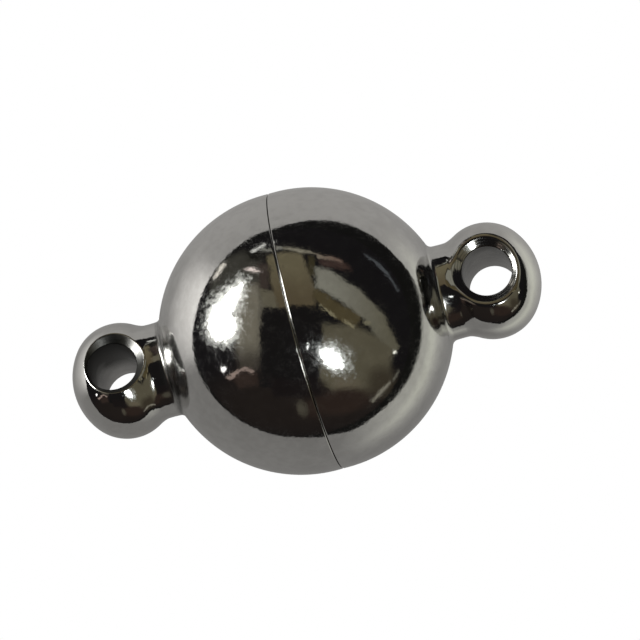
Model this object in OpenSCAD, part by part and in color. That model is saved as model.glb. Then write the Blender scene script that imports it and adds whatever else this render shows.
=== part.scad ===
// Round magnetic clasp for a necklace or bracelet: two polished metal halves that
// close into one ball. Each half is a single cast piece, a half ball with a short
// neck and a drilled eye, and holds a disc magnet glued flush into its flat face.
// The clasp axis is X, and the middle of the seam is the origin.

/* [Ball] */
// Diameter of the closed ball
ball_d = 10; // [9:0.1:16]
// Length of the straight band beside the seam, on each half
band_len = 0.2; // [0.1:0.05:0.6]
// Gap between the two flat faces when closed
seam_gap = 0.02; // [0.01:0.01:0.1]
// Broken edge round each flat face
seam_chamfer = 0.05; // [0.02:0.01:0.15]

/* [Neck] */
// Diameter of the neck between the ball and the eye
neck_d = 3.38; // [2.6:0.02:3.8]
// Length of the neck that shows between the ball and the eye
neck_len = 0.74; // [0.5:0.02:2]
// Radius of the hollow corner at each end of the neck
neck_fillet = 0.12; // [0.05:0.01:0.2]

/* [Eye] */
// Diameter of the eye across the clasp axis
eye_d = 4.12; // [3.9:0.02:5]
// Length of the eye along the clasp axis
eye_len = 3.58; // [3.5:0.02:3.8]
// Radius of the eye's rounded shoulder
eye_shoulder = 1.65; // [1.5:0.01:1.7]
// Diameter of the hole through the eye
hole_d = 1.75; // [1.2:0.05:1.9]
// How far the left hole lies outward of the middle of its eye
left_hole_out = 0.08; // [0:0.01:0.15]
// How far the right hole lies outward of the middle of its eye
right_hole_out = 0.03; // [0:0.01:0.15]
// How far the left countersinks reach down the hole
left_sink = 0.17; // [0.05:0.01:0.3]
// How far the right countersinks reach down the hole
right_sink = 0.35; // [0.05:0.01:0.4]
// Angle across a countersink, from wall to wall
sink_angle = 90; // [90:1:120]

/* [Magnet] */
// Diameter of each disc magnet
magnet_d = 6; // [4:0.1:7]
// Thickness of each disc magnet
magnet_len = 2.5; // [1.5:0.1:3.5]
// Room for glue round and behind each magnet
glue_gap = 0.05; // [0.02:0.01:0.1]

/* [Turn] */
// How far the left eye's hole leans from upright, about the clasp axis
left_turn = 22; // [0:0.5:45]
// How far the right eye's hole leans from upright, about the clasp axis
right_turn = 15; // [0:0.5:45]

/* [Hidden] */
$fn = 96;

ball_r = ball_d / 2;
neck_r = neck_d / 2;
hole_r = hole_d / 2;
face_x = seam_gap / 2;

// How far one round dips under the next where they run together, so that they cross
// cleanly and nearly smoothly
dip = 0.004;

// The eye's section is an oval of arcs: a shoulder arc stands off the clasp axis, and
// the end arcs are centred on it
shoulder_off = eye_d / 2 - eye_shoulder;
end_r = (pow(shoulder_off, 2) + pow(eye_len / 2, 2) - pow(eye_shoulder - dip, 2))
    / (eye_len - 2 * (eye_shoulder - dip));
end_off = end_r - eye_len / 2;
// Where an end arc gives way to the shoulder arc, as a radius from the clasp axis
join_r = end_r * shoulder_off / (end_r - eye_shoulder + dip);

// Half the eye's length at a radius from the clasp axis
function eye_half_len(r) = r < join_r
    ? sqrt(pow(end_r, 2) - pow(r, 2)) - end_off
    : sqrt(pow(eye_shoulder, 2) - pow(r - shoulder_off, 2));

// Radius of the eye about the clasp axis, x along that axis from the eye's middle
function eye_radius_at(x) = shoulder_off + sqrt(pow(eye_shoulder, 2) - pow(x, 2));

neck_x = band_len + sqrt(pow(ball_r, 2) - pow(neck_r, 2));
eye_x = neck_x + neck_len + eye_half_len(neck_r);

// Centres of the two hollow corners' rounds, as [radius, distance along the clasp axis]
corner_r = neck_r + neck_fillet;
ball_corner = [
    corner_r,
    band_len + sqrt(pow(ball_r - dip + neck_fillet, 2) - pow(corner_r, 2))
];
eye_corner = [
    corner_r,
    eye_x - sqrt(pow(eye_shoulder - dip + neck_fillet, 2)
        - pow(corner_r - shoulder_off, 2))
];
// Angles at which those rounds reach the ball and the eye
ball_angle = 180 + atan2(ball_corner[1] - band_len, corner_r);
eye_angle = 180 - atan2(eye_x - eye_corner[1], corner_r - shoulder_off);
corner_steps = 8;

function arc_points(centre, from, to) = [
    for (i = [0:corner_steps])
        let (a = from + (to - from) * i / corner_steps)
        centre + neck_fillet * [cos(a), sin(a)]
];

// Height of a countersink that starts at z from the clasp axis and runs out of the eye
function sink_len(z) = eye_d / 2 - z + 0.1;

// Section of the half ball: a straight band, then the round, with its edge broken
module ball_section() {
    difference() {
        union() {
            translate([0, face_x]) square([ball_r, band_len - face_x]);
            intersection() {
                translate([0, band_len]) circle(ball_r);
                translate([0, band_len]) square([ball_r, ball_r]);
            }
        }
        translate([ball_r, face_x]) rotate(45)
            square(seam_chamfer * sqrt(2), center = true);
    }
}

// Section of the eye about the clasp axis
module eye_section() {
    translate([0, eye_x]) {
        intersection() {
            translate([0, end_off]) circle(end_r);
            translate([0, -end_off]) circle(end_r);
            translate([0, -eye_len]) square([join_r, 2 * eye_len]);
        }
        intersection() {
            translate([shoulder_off, 0]) circle(eye_shoulder);
            translate([0, -eye_len]) square([eye_d, 2 * eye_len]);
        }
    }
}

// Section of the neck, with a hollow corner at each end
module neck_section() {
    polygon(concat(
        [[0, band_len], [neck_r, band_len]],
        arc_points(ball_corner, ball_angle, 180),
        arc_points(eye_corner, 180, eye_angle),
        [[neck_r, eye_x], [0, eye_x]]
    ));
}

module half_section() {
    ball_section();
    neck_section();
    eye_section();
}

// What is cut away for the hole and its two countersinks, which start at z
module hole_cut(z) {
    cylinder(r = hole_r, h = 2 * eye_d, center = true);
    for (side = [0, 1]) mirror([0, 0, side]) translate([0, 0, z])
        cylinder(r1 = hole_r, r2 = hole_r + sink_len(z) * tan(sink_angle / 2), h = sink_len(z));
}

// One half, with its face at the seam and its eye towards +X. The hole lies out from
// the middle of the eye and leans by turn, and its countersinks are sink deep.
module half(turn, out, sink) {
    difference() {
        rotate([0, 90, 0]) rotate_extrude() half_section();
        translate([face_x - magnet_len, 0, 0]) rotate([0, 90, 0])
            cylinder(d = magnet_d + 2 * glue_gap, h = 2 * magnet_len + glue_gap);
        translate([eye_x + out, 0, 0]) rotate([-turn, 0, 0])
            hole_cut(eye_radius_at(hole_r + out) - sink);
    }
}

// One magnet, flush with the face of its half
module magnet() {
    translate([face_x, 0, 0]) rotate([0, 90, 0]) cylinder(d = magnet_d, h = magnet_len);
}

module left_half() {
    color([0.52, 0.51, 0.49]) mirror([1, 0, 0]) half(left_turn, left_hole_out, left_sink);
}

module right_half() {
    color([0.52, 0.51, 0.49]) half(right_turn, right_hole_out, right_sink);
}

module left_magnet() {
    color([0.72, 0.71, 0.68]) mirror([1, 0, 0]) magnet();
}

module right_magnet() {
    color([0.72, 0.71, 0.68]) magnet();
}

left_half();
right_half();
left_magnet();
right_magnet();
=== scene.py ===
import math

import bpy
import numpy as np
from mathutils import Matrix, Vector


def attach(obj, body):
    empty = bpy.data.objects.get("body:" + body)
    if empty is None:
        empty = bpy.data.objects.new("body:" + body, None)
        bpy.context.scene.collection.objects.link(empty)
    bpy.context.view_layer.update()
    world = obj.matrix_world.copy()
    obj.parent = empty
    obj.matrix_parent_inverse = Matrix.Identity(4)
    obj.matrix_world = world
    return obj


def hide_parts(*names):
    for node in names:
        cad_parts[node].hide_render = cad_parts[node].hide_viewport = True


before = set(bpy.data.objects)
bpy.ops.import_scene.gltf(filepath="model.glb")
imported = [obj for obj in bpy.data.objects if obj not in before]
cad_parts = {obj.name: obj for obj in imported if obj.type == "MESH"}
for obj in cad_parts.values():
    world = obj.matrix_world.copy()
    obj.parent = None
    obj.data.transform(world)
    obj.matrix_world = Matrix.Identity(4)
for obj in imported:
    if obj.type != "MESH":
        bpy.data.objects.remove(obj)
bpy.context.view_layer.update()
scene = bpy.context.scene
MM = 0.001


# Camera. The clasp lies on its ball and is photographed from almost straight above:
# the right end leans a little towards the lens and runs uphill in the picture.
lean = math.radians(4.5)
uphill = math.radians(15.3)
camera_distance = 130 * MM
picture_width = 22.49 * MM
picture_centre = (0.486 * MM, 0.388 * MM)
sensor_width = 36

towards_lens = Vector((math.sin(lean), 0, math.cos(lean)))
along_clasp = Vector((math.cos(lean), 0, -math.sin(lean)))
across_clasp = Vector((0, 1, 0))
picture_right = math.cos(uphill) * along_clasp - math.sin(uphill) * across_clasp
picture_up = math.sin(uphill) * along_clasp + math.cos(uphill) * across_clasp

lens = bpy.data.cameras.new("camera")
lens.sensor_width = sensor_width
lens.lens = sensor_width * camera_distance / picture_width
lens.clip_start = 5 * MM
camera = bpy.data.objects.new("camera", lens)
aim = picture_centre[0] * picture_right + picture_centre[1] * picture_up
turned = Matrix((picture_right, picture_up, towards_lens)).transposed().to_4x4()
camera.matrix_world = Matrix.Translation(aim + camera_distance * towards_lens) @ turned
scene.collection.objects.link(camera)
scene.camera = camera
scene.view_settings.view_transform = "Standard"


# The two halves. Each is one stainless steel casting: a half ball, a short neck and an
# eye drilled across, all polished to a mirror on the wheel, which also rounds the
# hole's mouths. The flat face is turned, with a pocket for the magnet.
ball_r = 5.0
band = 0.2
face = 0.01
face_edge = 0.045
neck_r = 1.69
neck_corner = 0.12
neck_waist = 5.32
neck_spread = 9
eye_x = 6.687
eye_end = 1.79
eye_shoulder = 1.65
shoulder_off = 0.41
end_r = (shoulder_off**2 + eye_end**2 - eye_shoulder**2) / (2 * (eye_end - eye_shoulder))
end_off = end_r - eye_end
hole_r = 0.875
rim_round = 0.03
sink_slope = math.radians(31)
pocket_r = 3.05
pocket_depth = 2.56


def ball_depth(x, r):
    """Distance outside the half ball: from its round beyond the straight band, and from
    the band's own cylinder before it."""
    return np.where(x < band, r, np.hypot(r, x - band)) - ball_r


def eye_depth(x, r):
    """Distance outside the eye's oval. Points in the wedge that the end arc covers are
    measured from that arc's centre on the axis, the others from the shoulder's."""
    x = np.abs(x - eye_x)
    by_end = np.hypot(r, x + end_off) - end_r
    by_shoulder = np.hypot(r - shoulder_off, x) - eye_shoulder
    return np.where(r * end_off < shoulder_off * (x + end_off), by_end, by_shoulder)


def joined(a, b, corner):
    """Distance outside two shapes joined with a hollow corner of that radius."""
    hollow = np.hypot(np.maximum(corner - a, 0), np.maximum(corner - b, 0))
    return np.maximum(corner, np.minimum(a, b)) - hollow


def cut_back(a, b, rounding):
    """Distance outside what two shapes share, its edge rounded to that radius."""
    round_edge = np.hypot(np.maximum(rounding + a, 0), np.maximum(rounding + b, 0))
    return np.minimum(-rounding, np.maximum(a, b)) + round_edge


def outside(p):
    """Distance outside the half before it is drilled: ball, neck and eye joined with
    hollow corners, cut off square at the seam. The neck is slimmest at its waist and
    widens by the square of the distance from there."""
    x, r = p[..., 0], np.hypot(p[..., 1], p[..., 2])
    neck = np.maximum(r - neck_r - (x - neck_waist) ** 2 / neck_spread, x - eye_x)
    body = joined(ball_depth(x, r), neck, neck_corner)
    return cut_back(joined(body, eye_depth(x, r), neck_corner), face - x, face_edge)


def gradient(shape, p):
    """Direction and rate in which a distance grows, by small steps each way."""
    step = 1e-4
    ways = step * np.eye(3)
    return np.stack([shape(p + way) - shape(p - way) for way in ways], -1) / (2 * step)


def settle(shape, p, rounds=8):
    """Moves points onto the surface where the distance is nought, along its slope."""
    for _ in range(rounds):
        slope = gradient(shape, p)
        p = p - (shape(p) / (slope**2).sum(-1))[..., None] * slope
    return p


def arc(centre, radius, start, end, steps):
    """Points on a circle between two angles, as (along the clasp, from its axis)."""
    a = np.radians(np.linspace(start, end, steps))
    return np.stack([centre[0] + radius * np.cos(a), centre[1] + radius * np.sin(a)], -1)


def half_mesh(name, turn, hole_out, sink, dulled_and_shaded, side):
    """One half. Rows are rings about the clasp axis, from the pocket's middle over the
    seam's edge, ball, neck and eye to its tip, and columns are turns about that axis.
    Round each mouth of the hole a block of that grid gives way to rings about the hole,
    which run over the edge, down the countersink and the wall, and meet in the middle."""
    columns, half_block = 240, 32
    skin_rings, cone_rings, wall_rings = 14, 14, 13
    wall_start = skin_rings + cone_rings
    hole_x = eye_x + hole_out
    sink_z, sink_x, sink_y, mouth_round = sink
    # The pocket and face, with the small rounds that the cutter leaves
    soft = 0.05
    inside = np.concatenate([
        np.stack([np.full(12, pocket_depth), np.linspace(0.02, pocket_r - soft, 12)], -1),
        arc((pocket_depth - soft, pocket_r - soft), soft, 10, 90, 5),
        np.stack([np.linspace(pocket_depth - 0.2, face + 0.06, 10), np.full(10, pocket_r)], -1),
        arc((face + soft, pocket_r + soft), soft, 270, 180, 5),
        np.stack([np.full(14, face), np.linspace(pocket_r + 0.1, ball_r - 0.06, 14)], -1),
    ])
    # The outside: the seam's edge, the band, the ball, a hollow corner, the neck, another
    # hollow corner and the eye. All of it is settled onto the true shape below.
    skin = np.concatenate([
        arc((face + face_edge, ball_r - face_edge), face_edge, 178, 92, 6),
        np.stack([np.array([0.08, 0.12, 0.16]), np.full(3, ball_r)], -1),
        arc((band, 0), ball_r, 90, 20.8, 130),
        np.stack([np.linspace(4.88, 5.03, 10), np.linspace(1.77, neck_r, 10)], -1),
        np.stack([np.linspace(5.06, 5.58, 14), np.full(14, neck_r)], -1),
        np.stack([np.linspace(5.59, 5.68, 8), np.linspace(neck_r, 1.715, 8)], -1),
        arc((eye_x, 0), 1.95, 119, 0.6, 82),
    ])
    rows = np.concatenate([inside, skin])
    around = math.radians(turn) + np.arange(columns) * 2 * math.pi / columns
    ring = np.stack([np.zeros(columns), np.sin(around), np.cos(around)], -1)
    grid = rows[:, None, :1] * np.array([1.0, 0, 0]) + rows[:, None, 1:] * ring
    grid[len(inside):] = settle(outside, grid[len(inside):])

    # The block round the upper mouth: how far it reaches along the clasp, and which rows
    # and columns it spans
    to_neck, to_tip = 1.58, 1.46
    lean_dir = np.array([0, math.sin(math.radians(turn)), math.cos(math.radians(turn))])
    side_dir = np.array([0, math.cos(math.radians(turn)), -math.sin(math.radians(turn))])
    ring_x = grid[:, 0, 0]
    low = len(inside) + int(np.argmax(ring_x[len(inside):] > hole_x - to_neck))
    high = len(inside) + int(np.argmax(ring_x[len(inside):] > hole_x + to_tip))
    c = np.arange(0, half_block)
    span = np.arange(low, high)
    loop_row = np.concatenate([np.full(len(c), low), span, np.full(2 * len(c), high),
                               span[::-1] + 1, np.full(len(c), low)])
    loop_col = np.concatenate([c, np.full(len(span), half_block),
                               np.arange(half_block, -half_block, -1),
                               np.full(len(span), -half_block), np.arange(-half_block, 0)])
    loop = len(loop_row)

    def sink_height(p):
        """Height of the countersink's cone over the clasp axis, along the hole."""
        reach = np.hypot(p[..., 0] - hole_x - sink_x, p @ side_dir - sink_y)
        return sink_z + (reach - hole_r) * math.tan(sink_slope)

    def bored(p):
        """Distance outside the drilled half: what the bore and the cone leave of it."""
        bore = hole_r - np.hypot(p[..., 0] - hole_x, p @ side_dir)
        cone = (p @ lean_dir - sink_height(p)) * math.cos(sink_slope)
        return cut_back(outside(p), cut_back(bore, cone, rim_round), mouth_round)

    # Spokes from the hole's axis to the block's rim
    rim = grid[loop_row, loop_col % columns]
    flat = np.stack([rim[:, 0] - hole_x, rim @ side_dir], -1)
    far = np.hypot(flat[:, 0], flat[:, 1])
    flat = flat / far[:, None]
    spoke = flat[:, :1] * np.array([1.0, 0, 0]) + flat[:, 1:] * side_dir
    hub = np.array([hole_x, 0, 0])

    def halved(low_end, high_end, is_low):
        """Where a test turns from true to false between two ends, by halving."""
        lo, hi = np.full(loop, low_end), high_end * np.ones(loop)
        for _ in range(30):
            mid = (lo + hi) / 2
            lo, hi = np.where(is_low(mid), mid, lo), np.where(is_low(mid), hi, mid)
        return lo

    def skin_at_reach(reach):
        """The skin's height over the clasp axis at that reach along each spoke."""
        return halved(0.6, 2.4, lambda z: outside(hub + reach[:, None] * spoke
                                                  + z[:, None] * lean_dir) < 0)

    def on_cone(reach):
        p = hub + reach[:, None] * spoke
        return p + sink_height(p)[:, None] * lean_dir

    # Rings: across the skin to the edge, down the cone, then down the wall
    edge = halved(hole_r, far, lambda reach: outside(on_cone(reach)) < 0)
    rings = []
    for s in np.linspace(0, 1, skin_rings + 1)[1:]:
        reach = edge + (far - edge) * (1 - s) ** 1.7
        rings.append(hub + reach[:, None] * spoke + skin_at_reach(reach)[:, None] * lean_dir)
    for s in (1 - np.cos(np.linspace(0, math.pi, cone_rings + 1)[1:])) / 2:
        rings.append(on_cone(edge + (hole_r - edge) * s))
    top = sink_height(hub + hole_r * spoke)
    for s in np.linspace(0, 1, wall_rings + 1)[1:] ** 2:
        rings.append(hub + hole_r * spoke + (top * (1 - s))[:, None] * lean_dir)
    rings = np.stack(rings)
    rings[:-1] = settle(bored, rings[:-1])
    half_turn = np.array([1, -1, -1])

    # Vertices: the pocket's middle, the tip, the grid, the upper rings and the lower rings
    depth = len(rings)
    verts = np.concatenate([
        [[pocket_depth, 0, 0], [eye_x + eye_end, 0, 0]],
        grid.reshape(-1, 3), rings.reshape(-1, 3), (rings[:-1] * half_turn).reshape(-1, 3),
    ])
    at_grid = 2 + np.arange(len(rows) * columns).reshape(len(rows), columns)
    upper = at_grid.max() + 1 + np.arange(depth * loop).reshape(depth, loop)
    lower = upper.max() + 1 + np.arange((depth - 1) * loop).reshape(depth - 1, loop)
    meeting = upper[-1][(-np.arange(loop)) % loop]

    quads = np.stack([at_grid[:-1], at_grid[1:], np.roll(at_grid[1:], -1, 1),
                      np.roll(at_grid[:-1], -1, 1)], -1)
    kept = np.ones(quads.shape[:2], bool)
    for middle in (0, columns // 2):
        block = (np.arange(-half_block, half_block) + middle) % columns
        kept[low:high, block] = False
    faces = [quads[kept]]
    for middle, rows_in in ((0, list(upper)), (columns // 2, list(lower) + [meeting])):
        outer = at_grid[loop_row, (loop_col + middle) % columns]
        stack = np.stack([outer] + rows_in)
        faces.append(np.stack([stack[:-1], np.roll(stack[:-1], -1, 1),
                               np.roll(stack[1:], -1, 1), stack[1:]], -1).reshape(-1, 4)[:, ::-1])
    quads = np.concatenate(faces)
    start = np.stack([np.zeros(columns, int), at_grid[0], np.roll(at_grid[0], -1)], -1)
    tip = np.stack([np.ones(columns, int), np.roll(at_grid[-1], -1), at_grid[-1]], -1)

    # Slopes of the true surface, so that the polish reflects without facets
    normals = np.zeros_like(verts)
    normals[0], normals[1] = (-1, 0, 0), (1, 0, 0)
    run = np.gradient(rows[:len(inside)], axis=0)
    run /= np.linalg.norm(run, axis=-1, keepdims=True)
    flat_n = np.stack([-run[:, 1], run[:, 0]], -1)
    normals[at_grid[:len(inside)]] = (flat_n[:, None, :1] * np.array([1.0, 0, 0])
                                      + flat_n[:, None, 1:] * ring)
    skin_at = at_grid[len(inside):].ravel()
    normals[skin_at] = gradient(outside, verts[skin_at])
    wall = gradient(bored, rings)
    normals[upper] = wall
    normals[lower] = wall[:-1] * half_turn
    normals /= np.linalg.norm(normals, axis=-1, keepdims=True)

    # What the tools left, with painted shade: how dull the metal is and how dark its colour is
    # painted, how deep their ring marks are, and the distance in mm that counts the rings:
    # from the countersink's middle, down the bore, or from the middle of the turned face. A
    # countersink is duller and darker on its outer side, and a bore towards its upper end.
    # The darker colour in the countersinks and bores is painted shade of the hole, darkest
    # towards each bore's upper end.
    dull_and_shade, marked, ring_at = np.zeros((3, len(verts)))
    down = rings @ lean_dir
    from_sink = np.hypot(rings[..., 0] - hole_x - sink_x, rings @ side_dir - sink_y)
    counted = np.where(np.arange(depth)[:, None] < wall_start, from_sink, down)
    cone = slice(skin_rings + 1, wall_start)
    for mouth, rows_in, up in ((upper, depth, 1), (lower, depth - 1, -1)):
        dull_and_shade[mouth[cone]] = 1.04 * dulled_and_shaded + 0.12 * (rings[cone, :, 0] - hole_x)
        # The bore's colour darkens towards its upper end: painted shade of the hole.
        dull_and_shade[mouth[wall_start:]] = (0.4 + 0.5 * dulled_and_shaded
                                    + (0.16 + 0.4 * dulled_and_shaded) * up * down[wall_start:rows_in])
        marked[mouth[skin_rings + 2:]] = 1 - dulled_and_shaded
        ring_at[mouth] = counted[:rows_in]
    turned, turned_dull, turned_marked = at_grid[:len(inside)], 0.35, 0.9
    dull_and_shade[turned], dull_and_shade[0] = turned_dull, turned_dull
    marked[turned], ring_at[turned] = turned_marked, rows[:len(inside), 1:]

    # Points that the blocks left unused are dropped, and the left half is the mirror
    # image, with its faces turned to point outwards again
    used, new = np.unique(np.concatenate([quads.ravel(), start.ravel(), tip.ravel()]),
                          return_inverse=True)
    quads = new[:quads.size].reshape(-1, 4)
    tris = new[quads.size:].reshape(-1, 3)
    verts, normals = verts[used] * (side, 1, 1), normals[used] * (side, 1, 1)
    if side < 0:
        quads, tris = quads[:, ::-1], tris[:, ::-1]
    mesh = bpy.data.meshes.new(name)
    mesh.from_pydata((verts * MM).tolist(), [], quads.tolist() + tris.tolist())
    mesh.shade_smooth()
    mesh.normals_split_custom_set_from_vertices(normals.tolist())
    for layer, values in (("dull_and_shade", dull_and_shade), ("marked", marked), ("ring_at", ring_at)):
        mesh.attributes.new(layer, "FLOAT", "POINT").data.foreach_set("value", values[used])
    piece = bpy.data.objects.new(name, mesh)
    scene.collection.objects.link(piece)
    return piece


# Each countersink: its height where it meets the bore, how far it is off the hole's
# middle along and across the clasp, how round its edge was polished, and how dull it is
# and how dark its mouth and bore are painted, as painted shade of the hole
left_casting = half_mesh("left_casting", 22, 0.08, (1.58, -0.11, 0.115, 0.03), 0.95, -1)
right_casting = half_mesh("right_casting", 15, 0.03, (1.43, 0.0, 0.0, 0.12), 0.15, 1)


class Signal:
    """One value in a node tree. Arithmetic on it adds Math nodes to the tree."""

    def __init__(self, tree, socket=None):
        self.tree, self.socket = tree, socket

    def node(self, kind, settings=None, values=None, out=0):
        """Adds a node, sets it, then gives its sockets their values or links."""
        made = self.tree.nodes.new(kind)
        for key, value in (settings or {}).items():
            setattr(made, key, value)
        for key, value in (values or {}).items():
            if isinstance(value, Signal):
                self.tree.links.new(value.socket, made.inputs[key])
            else:
                made.inputs[key].default_value = value
        return Signal(self.tree, made.outputs[out] if len(made.outputs) else None)

    def math(self, operation, *values):
        return self.node("ShaderNodeMath", {"operation": operation}, dict(enumerate(values)))

    def __add__(self, other):
        return self.math("ADD", self, other)

    def __sub__(self, other):
        return self.math("SUBTRACT", self, other)

    def __rsub__(self, other):
        return self.math("SUBTRACT", other, self)

    def __mul__(self, other):
        return self.math("MULTIPLY", self, other)

    def __truediv__(self, other):
        return self.math("DIVIDE", self, other)

    def __rtruediv__(self, other):
        return self.math("DIVIDE", other, self)

    def __pow__(self, other):
        return self.math("POWER", self, other)

    def __abs__(self):
        return self.math("ABSOLUTE", self)

    __radd__, __rmul__ = __add__, __mul__

    def ramp(self, low, high):
        """0 below low, 1 above high, smooth between; the other way round if low > high."""
        start, end = (low, high) if low < high else (high, low)
        rise = self.node("ShaderNodeMapRange", {"interpolation_type": "SMOOTHSTEP"},
                         {"Value": self, "From Min": start, "From Max": end})
        return rise if low < high else 1 - rise

    def blend(self, a, b):
        """Colour a where this is 0, b where it is 1."""
        return self.node("ShaderNodeMix", {"data_type": "RGBA"}, {0: self, 6: a, 7: b}, 2)


def new_material(name):
    """A material's start: its tree, its end node and the place on the piece."""
    material = bpy.data.materials.new(name)
    material.use_nodes = True
    tree = material.node_tree
    tree.nodes.clear()
    start = Signal(tree)
    return material, start, start.node("ShaderNodeTexCoord", out="Object")


def polished_steel():
    """Stainless steel polished on a wheel: a mirror with curls of fine scratches, most of
    them on the ball, that catch the lamps from beside. The tools left rings in the
    countersinks, the bores and the turned face, which are duller and darker; in the
    countersinks and bores the darker colour is painted shade of the hole. The left half's
    flank behind its eye is rougher, and its colour is painted with dark streaks, a painted
    dark reflection of the neck beside it."""
    material, tree, place = new_material("polished_steel")
    light_grey, lighter_grey = (0.53, 0.524, 0.51, 1), (0.595, 0.59, 0.575, 1)
    marks_and_shade_grey = (0.045, 0.045, 0.042, 1)
    dull_and_shade, marked, ring_at = (tree.node("ShaderNodeAttribute", {"attribute_name": layer}, out="Fac")
                             for layer in ("dull_and_shade", "marked", "ring_at"))

    def noise(scale, detail, distortion=0.0, at=place):
        return tree.node("ShaderNodeTexNoise", None, {
            "Vector": at, "Scale": scale, "Detail": detail, "Distortion": distortion})

    # Where on the half, from its distance along the clasp: the ball, the root of the neck,
    # and the left half's flank behind its eye, bounded by a curve, which is rougher and
    # is painted with dark streaks as a painted dark reflection of the neck
    x, y = (tree.node("ShaderNodeSeparateXYZ", None, {0: place}, name) for name in "XY")
    on_ball = abs(x).ramp(0.0052, 0.0042)
    root = abs(x).ramp(0.0043, 0.0048) * abs(x).ramp(0.00525, 0.0050)
    flank_curve = 160.0
    outer = x + y * y * flank_curve
    behind = x.ramp(-0.0051, -0.0049)
    painted_flank_reflection = outer.ramp(-0.00438, -0.00456) * behind
    along = tree.node("ShaderNodeVectorMath", {"operation": "MULTIPLY"},
                      {0: place, 1: (6.0, 1.0, 1.0)})
    streaks = noise(1400, 2, at=along)

    # The marks, and the height that they give the surface
    waves, clouds, grain, pits = noise(700, 1), noise(350, 3), noise(2500, 3), noise(9000, 2)
    curls = noise(5000, 1.5, 1.0)
    strands = abs(curls - 0.5).ramp(0.06, 0.015) * noise(2600, 2).ramp(0.38, 0.6)
    rings = tree.math("SINE", ring_at * 70.0 + clouds * 8.0)
    grooves = rings.ramp(0.0, 1.0) * marked
    height = (waves * 3.0 + pits * (clouds.ramp(0.3, 0.65) * 0.4 + 0.4) + curls * 0.6
              + rings * marked * 0.15)
    bump = tree.node("ShaderNodeBump", None,
                     {"Height": height, "Strength": 1.0, "Distance": 2e-6}, "Normal")

    # Darker colour: the tools' ring grooves, painted shade in the countersinks and bores, and on
    # the left flank painted dark streaks that stand in for the neck's reflection.
    marks_and_shade = dull_and_shade * (noise(900, 2).ramp(0.3, 0.7) * 0.4 + 0.8) + grooves * 0.4
    colour = (clouds * 0.5 + grain * 0.5).ramp(0.38, 0.62).blend(light_grey, lighter_grey)
    colour = (marks_and_shade + painted_flank_reflection * (streaks.ramp(0.3, 0.65) * 0.5 + 0.4)).blend(colour, marks_and_shade_grey)
    mirror = tree.node("ShaderNodeBsdfPrincipled", None, {
        "Base Color": colour,
        "Metallic": 1.0,
        "Roughness": (clouds * 0.02 + 0.035 + on_ball * 0.01 + dull_and_shade * 0.3 + grooves * 0.1
                      + outer.ramp(-0.0040, -0.0043) * behind * 0.13 + root * 0.08),
        "Normal": bump,
    })
    haze = tree.node("ShaderNodeBsdfPrincipled", None, {
        "Base Color": colour, "Metallic": 1.0, "Roughness": 0.16, "Normal": bump})
    steel = tree.node("ShaderNodeMixShader", None,
                      {0: (strands * 0.7 + 0.01) * (on_ball * 0.95 + 0.05), 1: mirror, 2: haze})
    tree.node("ShaderNodeOutputMaterial", None, {"Surface": steel})
    return material


steel = polished_steel()
for casting, node, body in ((left_casting, "left_half", "left_body"),
                            (right_casting, "right_half", "right_body")):
    casting.data.materials.append(steel)
    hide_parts(node)
    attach(casting, body)


# The magnets. Each is a disc of sintered magnet, nickel plated, glued into its pocket
# flush with the turned face. They only show when the clasp is open.
magnet_r = 3.0
magnet_depth = 2.5
magnet_edge = 0.15


def magnet_mesh(name, side):
    """A disc turned about the clasp axis: rows run from the middle of the showing face,
    over a rounded edge, along the side and over the other edge to the back's middle."""
    back, columns = face + magnet_depth, 144
    profile = np.concatenate([
        np.stack([np.full(10, face), np.linspace(0.05, magnet_r - magnet_edge, 10)], -1),
        arc((face + magnet_edge, magnet_r - magnet_edge), magnet_edge, 180, 90, 8)[1:],
        arc((back - magnet_edge, magnet_r - magnet_edge), magnet_edge, 90, 0, 8),
        np.stack([np.full(9, back), np.linspace(magnet_r - magnet_edge, 0.05, 10)[1:]], -1),
    ])
    turns = np.arange(columns) * 2 * math.pi / columns
    ring = np.stack([np.zeros(columns), np.sin(turns), np.cos(turns)], -1)
    grid = profile[:, None, :1] * np.array([1.0, 0, 0]) + profile[:, None, 1:] * ring
    verts = np.concatenate([[[face, 0, 0], [back, 0, 0]], grid.reshape(-1, 3)]) * (side, 1, 1)
    at = 2 + np.arange(len(profile) * columns).reshape(-1, columns)
    quads = np.stack([at[:-1], at[1:], np.roll(at[1:], -1, 1), np.roll(at[:-1], -1, 1)], -1)
    ends = np.concatenate([
        np.stack([np.zeros(columns, int), at[0], np.roll(at[0], -1)], -1),
        np.stack([np.ones(columns, int), np.roll(at[-1], -1), at[-1]], -1),
    ])
    quads = quads.reshape(-1, 4)
    if side < 0:
        quads, ends = quads[:, ::-1], ends[:, ::-1]
    mesh = bpy.data.meshes.new(name)
    mesh.from_pydata((verts * MM).tolist(), [], quads.tolist() + ends.tolist())
    mesh.shade_smooth()
    piece = bpy.data.objects.new(name, mesh)
    scene.collection.objects.link(piece)
    return piece


def nickel_plate():
    """Nickel plating over a ground magnet: satin, with fine specks."""
    material, tree, place = new_material("nickel_plate")
    specks = tree.node("ShaderNodeTexNoise", None,
                       {"Vector": place, "Scale": 9000.0, "Detail": 3.0})
    bump = tree.node("ShaderNodeBump", None,
                     {"Height": specks, "Strength": 1.0, "Distance": 4e-6}, "Normal")
    plate = tree.node("ShaderNodeBsdfPrincipled", None, {
        "Base Color": specks.ramp(0.3, 0.7).blend((0.60, 0.58, 0.54, 1), (0.68, 0.66, 0.62, 1)),
        "Metallic": 1.0,
        "Roughness": specks * 0.1 + 0.25,
        "Normal": bump,
    })
    tree.node("ShaderNodeOutputMaterial", None, {"Surface": plate})
    return material


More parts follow.
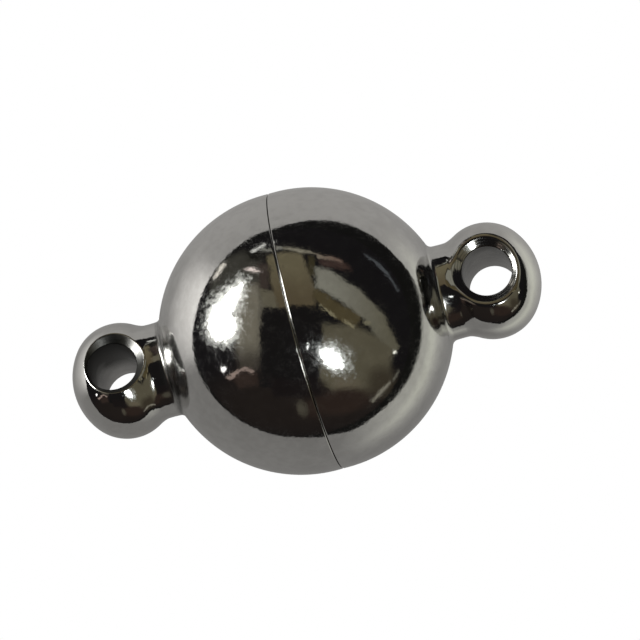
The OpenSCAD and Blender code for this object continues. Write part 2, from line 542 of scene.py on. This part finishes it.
nickel = nickel_plate()
for name, node, body, side in (("left_disc", "left_magnet", "left_body", -1),
                               ("right_disc", "right_magnet", "right_core", 1)):
    disc = magnet_mesh(name, side)
    disc.data.materials.append(nickel)
    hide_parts(node)
    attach(disc, body)


# The table: a white sweep under the clasp. In the steel it shows as the grey paper that
# the clasp lies on, lit from the left and a little from the right, up to the paper's
# edge and the dark bench beyond. Each sheet's corners are given anticlockwise.
sheets = (
    [(24.5, 22), (-16, 70), (-87, 114), (-200, 160), (-500, 200), (-500, 80), (-100, -35),
     (0, -40), (24.5, -20)],
    [(22, -52), (24.5, 22), (-100, 20), (-125, -60), (-132, -130), (-128, -250), (-20, -275),
     (7, -215), (17, -115)],
)
last_sheet = [(20, -54), (42, -54), (37, -14), (34, -1), (24, 9)]


def table_top():
    """A wide flat floor, a hair under the ball."""
    size, clearance = 0.6, 0.002
    mesh = bpy.data.meshes.new("table")
    low = -(ball_r + clearance) * MM
    corners = [(-size, -size, low), (size, -size, low), (size, size, low), (-size, size, low)]
    mesh.from_pydata(corners, [], [(0, 1, 2, 3)])
    piece = bpy.data.objects.new("table", mesh)
    scene.collection.objects.link(piece)
    material, tree, place = new_material("paper")
    seen = tree.node("ShaderNodeLightPath", out="Is Camera Ray")
    millimetres = tree.node("ShaderNodeVectorMath", {"operation": "SCALE"}, {0: place, 3: 1000.0})
    right = tree.node("ShaderNodeVectorMath", {"operation": "DOT_PRODUCT"},
                      {0: millimetres, 1: tuple(picture_right)}, "Value")
    up = tree.node("ShaderNodeVectorMath", {"operation": "DOT_PRODUCT"},
                   {0: millimetres, 1: tuple(picture_up)}, "Value")
    along = tree.node("ShaderNodeSeparateXYZ", None, {0: millimetres}, "X")
    across = tree.node("ShaderNodeSeparateXYZ", None, {0: millimetres}, "Y")
    out = tree.math("SQRT", right * right + up * up)

    def beyond(corners):
        """How far outside a sheet, given by its corners anticlockwise."""
        far = None
        for (x0, y0), (x1, y1) in zip(corners, corners[1:] + corners[:1]):
            long = math.hypot(x1 - x0, y1 - y0)
            nx, ny = (y1 - y0) / long, (x0 - x1) / long
            side = right * nx + up * ny - (nx * x0 + ny * y0)
            far = side if far is None else tree.math("MAXIMUM", far, side)
        return far

    on_paper = tree.math("MAXIMUM",
                         tree.math("MINIMUM", beyond(sheets[0]), beyond(sheets[1])).ramp(1.0, -0.5),
                         beyond(last_sheet).ramp(8.0, -3.0))
    # Light falls from both ends of a line that tips a little down to the right
    toward = (right * 0.985 - up * 0.17) / out
    from_left = toward.ramp(-0.85, -0.99) * tree.math("MAXIMUM", 1 - 12.0 / out, 0.0)
    from_right = toward.ramp(0.35, 1.0) * out.ramp(9.0, 19.0) * (1 - out.ramp(17.0, 27.0) * 0.35)
    bright = from_left * 0.85 + from_right * 0.42 + up.ramp(-8.0, 10.0) * 0.18 + 0.26
    # The ball and the eyes shade the sheet near them
    by_eye = tree.math("SQRT", (abs(along) - 6.7) ** 2.0 + across * across)
    shade = (out.ramp(5.0, 13.0) * 0.15 + 0.85) * (by_eye.ramp(1.0, 4.0) * 0.35 + 0.65)
    grey = bright * shade * on_paper + 0.010
    tint = from_right.blend((1.0, 0.98, 0.95, 1), (0.99, 1.0, 0.88, 1))
    mirrored = tree.node("ShaderNodeEmission", None, {"Color": tint, "Strength": grey})
    # Seen straight on it is white, with a soft shade where the ball touches it
    near = tree.math("SQRT", along * along + across * across)
    contact = near.ramp(0.5, 4.7) * 0.5 + 0.5
    white = tree.node("ShaderNodeEmission", None, {"Color": (1, 1, 1, 1), "Strength": contact})
    end = tree.node("ShaderNodeMixShader", None, {0: seen, 1: mirrored, 2: white})
    tree.node("ShaderNodeOutputMaterial", None, {"Surface": end})
    mesh.materials.append(material)


table_top()

# The room, on the sky itself: a lamp low at the left, a smaller one beside the camera,
# walls, a dark doorway and some small bright gaps. Each is placed by where it shows in
# the ball, in points of a 640 point picture, and given the colour that it shows there.
world = bpy.data.worlds.new("room")
scene.world = world
world.use_nodes = True
room = world.node_tree
room.nodes.clear()
sky = Signal(room)
direction = sky.node("ShaderNodeTexCoord", out="Generated")

# The ball in the picture: its middle, its radius and its scale, in points
ball_middle = (306.2, 331.0)
ball_reach = 142.3
points_per_mm = 28.46

# The slope on the ball that mirrors a direction to the lens lies halfway between the two.
# From it comes the place in the picture, wavering by a few points as the polish does. The
# cards' reach is a hair under the ball's, because the lens is near.
card_reach, waver = 142.0, 5.0
halfway = sky.node("ShaderNodeVectorMath", {"operation": "ADD"},
                   {0: direction, 1: tuple(towards_lens)})
facing = sky.node("ShaderNodeVectorMath", {"operation": "NORMALIZE"}, {0: halfway})


def uneven(scale, distortion=0.0):
    """Noise by where it shows in the ball, for what the polish bends and frays."""
    return sky.node("ShaderNodeTexNoise", None, {
        "Vector": facing, "Scale": scale, "Detail": 2.0, "Distortion": distortion}, "Fac")


def reach(side):
    """How far towards a side of the picture a direction shows, in points."""
    return sky.node("ShaderNodeVectorMath", {"operation": "DOT_PRODUCT"},
                    {0: facing, 1: tuple(side)}, "Value") * card_reach


fray = uneven(60.0, 1.5) - 0.5
across = reach(picture_right) + uneven(9.0) * waver + (ball_middle[0] - waver / 2)
downward = reach(-picture_up) + uneven(7.0) * waver + (ball_middle[1] - waver / 2)


def light(red, green, blue, boost=1.0):
    """The light that shows in the steel as this screen colour, times a boost. The steel
    gives back only part of what it is given."""
    steel_returns = 0.56
    lit = [((c / 255 + 0.055) / 1.055) ** 2.4 for c in (red, green, blue)]
    return tuple(boost * c / steel_returns for c in lit) + (1,)


def shown(x, y):
    """The place on a whole ball that shows what a half shows at this picture point. The
    band sets each half's round off along the clasp, to its own side of the seam."""
    right, down = x - ball_middle[0], y - ball_middle[1]
    along = right * math.cos(uphill) - down * math.sin(uphill)
    aside = -right * math.sin(uphill) - down * math.cos(uphill)
    seam = -math.sin(lean) * math.sqrt(max(ball_reach**2 - aside**2, 0))
    shift = band * points_per_mm * (1 if along < seam else -1)
    return x + shift * math.cos(uphill), y - shift * math.sin(uphill)


def pane(soft, *corners, frayed=0):
    """Where a flat card shows: inside all its sides, given by its corners clockwise.
    Scratches in the steel fray the lamps' edges."""
    beyond = None
    corners = [shown(*corner) for corner in corners]
    for (x0, y0), (x1, y1) in zip(corners, corners[1:] + corners[:1]):
        long = math.hypot(x1 - x0, y1 - y0)
        nx, ny = (y1 - y0) / long, -(x1 - x0) / long
        side = across * nx + downward * ny - (nx * x0 + ny * y0)
        beyond = side if beyond is None else sky.math("MAXIMUM", beyond, side)
    return (beyond + fray * frayed).ramp(soft, -soft)


def spot(soft, x, y, wide, high, tilt=0, frayed=0):
    """Where an oval card shows: its middle, half width and half height, and its tilt."""
    x, y = shown(x, y)
    c, s = math.cos(math.radians(tilt)), math.sin(math.radians(tilt))
    a = ((across - x) * c - (downward - y) * s) / wide
    b = ((across - x) * s + (downward - y) * c) / high
    out = sky.math("SQRT", a * a + b * b) + fray * (frayed / high)
    return out.ramp(1 + soft, max(1 - soft, 0))


def either(first, *others):
    """Where any of several cards shows."""
    for other in others:
        first = sky.math("MAXIMUM", first, other)
    return first


colour = sky.node("ShaderNodeRGB")
colour.socket.default_value = light(19, 18, 19)
for where, shade in (
    # Walls and ceiling
    (spot(0.5, 300, 400, 90, 34), light(30, 26, 24)),
    (pane(5, (222, 262), (246, 252), (262, 258), (262, 284), (240, 292), (214, 296), (210, 285)),
     light(52, 51, 46)),
    (pane(5, (246, 284), (262, 284), (262, 352), (259, 367), (241, 368), (237, 345), (236, 315)),
     downward.ramp(335, 362).blend(light(100, 96, 85), light(58, 54, 48))),
    (pane(3, (258, 266), (269, 265), (271, 290), (261, 290)), light(54, 47, 43)),
    (pane(2.5, (261, 290), (290, 290), (290, 309), (263, 309)), light(87, 83, 70)),
    (pane(4, (322, 308), (345, 320), (365, 328), (384, 330), (392, 352), (388, 378), (362, 398),
          (335, 394), (318, 375)), light(78, 74, 61)),
    (spot(0.6, 346, 383, 13, 7), light(86, 80, 67)),
    (spot(0.6, 380, 381, 14, 14), light(52, 47, 38)),
    (spot(0.35, 342, 400, 30, 12, 10), light(40, 32, 28)),
    (pane(2.5, (276, 254), (300, 254), (314.5, 258), (314.5, 290), (320, 306), (290, 309),
          (286, 290)),
     downward.ramp(262, 302).blend(light(92, 86, 68), light(78, 70, 54))),
    (pane(2, (314.5, 289), (361, 316), (357, 326), (343, 322), (320, 306), (313, 298)),
     light(68, 61, 43)),
    (pane(1.5, (308, 257), (314.5, 257), (314.5, 277), (309, 276)), light(50, 46, 32)),
    (pane(2.5, (320, 260), (346, 265), (350, 272), (322, 267)), light(56, 44, 40)),
    # A curved grey wall, and the thin edges beside it
    (either(pane(2, (315, 268), (331, 272), (346, 282.5), (346, 304.5), (330.5, 296.3),
                 (315.5, 288.5)),
            pane(2, (343, 280.5), (359, 290), (369, 300.5), (365, 320), (343, 303.5)),
            pane(2, (365, 297), (381, 313.5), (385, 320), (376, 338), (362, 316)),
            pane(2, (380, 312), (391.5, 333), (398, 347), (393, 351), (374, 335))),
     across.ramp(318, 392).blend(light(112, 111, 102), light(84, 81, 68))),
    (either(pane(1, (320, 305), (337, 316), (336, 318), (319, 307)),
            pane(1, (345, 319.7), (354, 327), (353, 329), (344, 321.5))), light(128, 122, 98)),
    (spot(0.4, 365.8, 322.5, 3, 2), light(110, 106, 88)),
    (either(pane(1.2, (276, 248), (300, 250), (320, 254), (320, 257), (300, 253), (276, 251)),
            pane(1.2, (318, 253.5), (342, 262), (341, 264.5), (318, 258))),
     across.ramp(296, 332).blend(light(128, 124, 110), light(100, 84, 75))),
    # A dark doorway, with its crisp top
    (pane(1.2, (264.5, 307.5), (322, 306.8), (322.5, 345), (318, 386), (262, 386), (262, 330)),
     light(20, 19, 19)),
    (pane(3, (268, 376), (316, 376), (312, 396), (276, 396)), light(23, 20, 20)),
    (spot(0.5, 302, 407, 5, 8, 20), light(64, 61, 53)),
    (pane(3, (232, 374), (256, 371), (260, 384), (240, 387)), light(44, 36, 32)),
    # Small bright gaps
    (pane(1.5, (370, 399), (380, 388), (388.5, 380.5), (389.5, 383), (382, 391.5), (372, 401)),
     light(120, 117, 106)),
    (pane(1.0, (391, 379), (397, 369), (399, 371), (393, 381)), light(90, 88, 80)),
    (either(pane(1, (363.5, 254), (377, 264.5), (376, 267), (364.5, 256)),
            pane(1, (375, 263), (388, 274.5), (386.5, 277), (374.5, 266)),
            pane(1, (386, 273.5), (398.5, 290), (396.5, 291), (385.5, 276))), light(70, 73, 76)),
    (pane(3, (249, 252), (262, 249), (266, 256), (258, 263), (250, 260)), light(22, 21, 18)),
    (pane(1.0, (252, 252), (264, 245), (265.5, 246.5), (254, 253.5)), light(215, 215, 210)),
    (pane(1.0, (262, 249.5), (272, 252), (271.5, 253.5), (261, 251.5)), light(125, 125, 118)),
    (pane(1.2, (213.5, 278.5), (225, 264), (227, 265.5), (216, 280)), light(222, 217, 207)),
    (pane(1.2, (246, 269.5), (252, 268), (260, 272.7), (252, 272.6)), light(225, 212, 206)),
    (either(pane(1.2, (228, 376), (247, 366), (248, 368), (231, 378.5)),
            pane(1.2, (247, 365.5), (256, 369), (255, 371.5), (247, 368.5))), light(140, 124, 116)),
    (spot(0.3, 308, 346.5, 1.3, 3.4), light(225, 230, 228, 2)),
    (spot(0.3, 225.6, 368, 2.3, 2.0, -40), light(240, 238, 236, 2)),
    (spot(0.4, 393.3, 352, 1.8, 1.8), light(200, 200, 190, 1.5)),
    # The lamp low at the left, and the one beside the camera, each with the fringe of
    # hair scratches that it lights
    (either(pane(2, (241, 279), (249, 281), (249, 290), (241, 306), (239, 314), (211, 314),
                 (212, 304), (225, 293), frayed=45),
            spot(0.15, 224, 326, 15.5, 16.5, frayed=45)), light(236, 238, 232)),
    (spot(0.4, 333, 357, 13.5, 9, -34, frayed=45), light(228, 234, 232)),
    (either(pane(1.0, (243, 285), (245.5, 287.5), (236, 304), (233, 314), (216.5, 314),
                 (217.5, 308), (229, 297), frayed=12),
            spot(0.1, 222.5, 325, 11.5, 13, frayed=12)), (22, 22, 21.5, 1)),
    (spot(0.3, 331.3, 358, 10, 6.4, -38, frayed=12), (15, 15.4, 15.4, 1)),
):
    colour = where.blend(colour, shade)
mirrored = sky.node("ShaderNodeBackground", None, {"Color": colour, "Strength": 1.0})
plain = sky.node("ShaderNodeBackground", None, {"Color": (1, 1, 1, 1), "Strength": 1.0})
seen = sky.node("ShaderNodeLightPath", out="Is Camera Ray")
sky.node("ShaderNodeOutputWorld", None, {
    "Surface": sky.node("ShaderNodeMixShader", None, {0: seen, 1: mirrored, 2: plain})})
